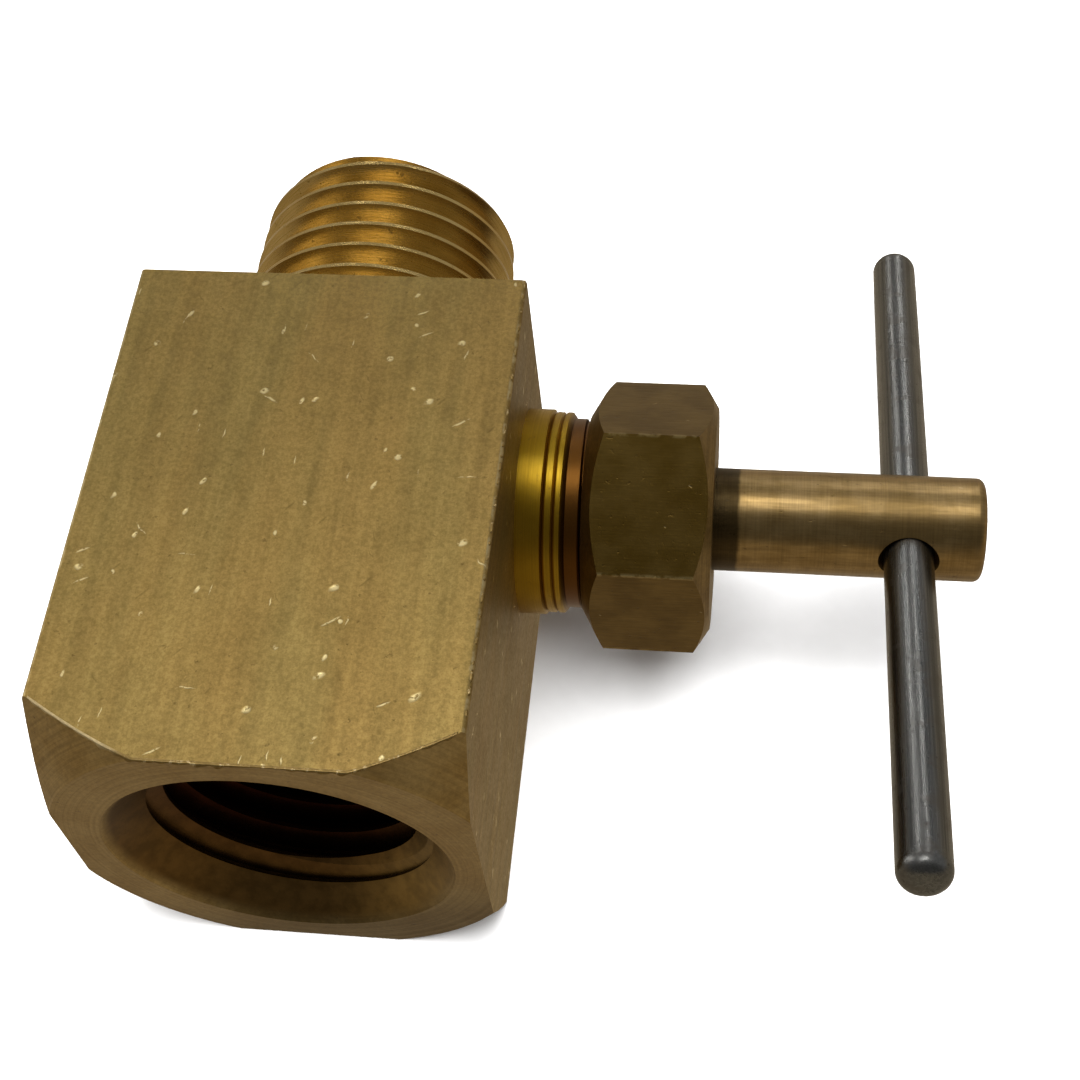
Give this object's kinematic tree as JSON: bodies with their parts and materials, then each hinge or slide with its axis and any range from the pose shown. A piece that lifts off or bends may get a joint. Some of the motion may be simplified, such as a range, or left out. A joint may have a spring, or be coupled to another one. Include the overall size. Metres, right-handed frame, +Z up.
{
  "type": "needle valve",
  "caption": "Bar-stock brass needle valve with female and male pipe threads in line and a T-handled stem through a side packing gland.",
  "frame": {"origin": "centre of the female port's mouth, on the flow line", "axes": "+Y along the flow line from the female port to the male thread, +X out along the stem to the T-bar, +Z up, away from the flat face that the valve lies on"},
  "size_m": [0.0406, 0.0433, 0.0186],
  "materials": {
    "body_brass": "dull drawn bar with fine lengthwise grain and small scratches",
    "neck_brass": "bright turned",
    "nut_brass": "tarnished drawn hexagon bar with turned chamfers",
    "stem_brass": "fine turned",
    "bar_steel": "drawn steel wire",
    "needle_steel": "ground",
    "seal_copper": "annealed copper",
    "packing_ptfe": "smooth white"
  },
  "bodies": {
    "valve": {"valve_body": "body_brass", "bonnet": "neck_brass", "bonnet_seal": "seal_copper", "backing_washer": "neck_brass", "packing_ring_lower": "packing_ptfe", "packing_ring_middle": "packing_ptfe", "packing_ring_upper": "packing_ptfe"},
    "needle": {"needle_tip": "needle_steel"},
    "stem": {"stem": "stem_brass", "t_bar": "bar_steel"},
    "gland": {"gland_follower": "neck_brass"},
    "nut": {"packing_nut": "nut_brass"}
  },
  "joints": [
    {"name": "needle_lift", "type": "slide", "parent": "valve", "child": "needle", "axis": [1, 0, 0], "range_m": [-0.0015, 0.0025]},
    {"name": "stem_turn", "type": "hinge", "parent": "needle", "child": "stem", "pos_m": [0.01, 0.01892, 0], "axis": [1, 0, 0], "range_deg": [-595, 990]},
    {"name": "gland_lift", "type": "slide", "parent": "valve", "child": "gland", "axis": [1, 0, 0], "range_m": [0, 0.003]},
    {"name": "nut_turn", "type": "hinge", "parent": "gland", "child": "nut", "pos_m": [0.01, 0.01892, 0], "axis": [1, 0, 0], "range_deg": [0, 1440]}
  ],
  "couplings": [
    {"joint": "needle_lift", "follows": "stem_turn", "m_per_rad": 0.00014435},
    {"joint": "gland_lift", "follows": "nut_turn", "m_per_rad": 0.00011937}
  ]
}
